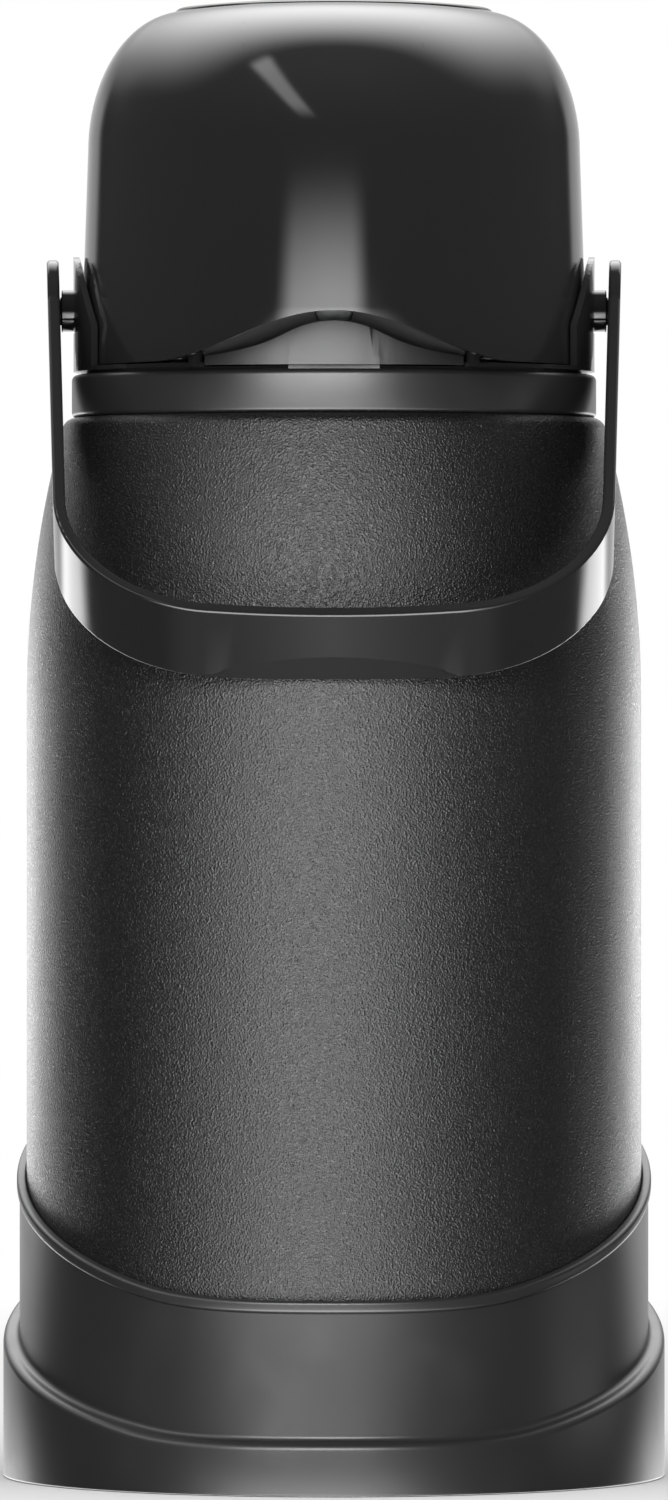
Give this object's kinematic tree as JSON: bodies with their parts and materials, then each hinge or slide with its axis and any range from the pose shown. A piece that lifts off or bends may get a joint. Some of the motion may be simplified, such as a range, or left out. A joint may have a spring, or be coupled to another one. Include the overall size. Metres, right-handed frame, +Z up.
{
  "type": "push-button pump carafe",
  "caption": "Insulated pump carafe: push button in a hinged hood with a beaked spout, swinging bail, release tab, clamped sleeve on a stepped base cup, with flask, dip tube and bellows inside.",
  "frame": {"origin": "middle of the face that the object stands on", "axes": "+Z up along the flask, -Y to the front where the spout and the release tab are, +X across"},
  "size_m": [0.1624, 0.1748, 0.362],
  "materials": {
    "gloss_black": "high gloss moulded",
    "satin_black": "satin moulded",
    "powder_coat": "fine wrinkled powder coat",
    "inner_plastic": "plain moulded",
    "clear_plastic": "milky translucent",
    "rubber": "matt",
    "steel": "bright drawn",
    "flask_glass": "silvered between the walls"
  },
  "bodies": {
    "body": {"base_cup": "satin_black", "base_plug": "satin_black", "flask_cushion": "rubber", "body_sleeve": "powder_coat", "flask_outer_bulb": "flask_glass", "flask_inner_bulb": "flask_glass", "flask_gasket": "rubber", "collar_ring": "satin_black", "shoulder_insert": "inner_plastic", "neck_housing": "gloss_black", "neck_screws": "steel", "bail_pivots": "gloss_black", "tube_holder": "inner_plastic", "dip_tube": "clear_plastic", "tube_seal": "rubber", "hinge_pin": "steel"},
    "head": {"hood_shell": "gloss_black", "head_floor": "satin_black", "head_screws": "steel", "mouth_seal": "rubber", "pump_cup": "inner_plastic", "air_valve_flap": "rubber", "outlet_pipe": "clear_plastic", "spout_nozzle": "satin_black", "pump_bellows": "rubber", "return_spring": "steel"},
    "button": {"push_button": "gloss_black"},
    "release": {"release_tab": "satin_black", "tab_spring": "steel"},
    "bail": {"bail_handle": "gloss_black"}
  },
  "joints": [
    {"name": "head_hinge", "type": "hinge", "parent": "body", "child": "head", "pos_m": [0, 0.0675, 0.277], "axis": [-1, 0, 0], "range_deg": [0, 95]},
    {"name": "button_press", "type": "slide", "parent": "head", "child": "button", "axis": [0, 0, -1], "range_m": [0, 0.02], "stiffness_N_per_m": 700, "springref_m": -0.01, "deforming": ["pump_bellows", "return_spring"]},
    {"name": "tab_push", "type": "slide", "parent": "body", "child": "release", "axis": [0, 1, 0], "range_m": [0, 0.003], "stiffness_N_per_m": 800, "springref_m": -0.002},
    {"name": "bail_swing", "type": "hinge", "parent": "body", "child": "bail", "pos_m": [0, 0, 0.2857], "axis": [-1, 0, 0], "range_deg": [0, 268]}
  ]
}
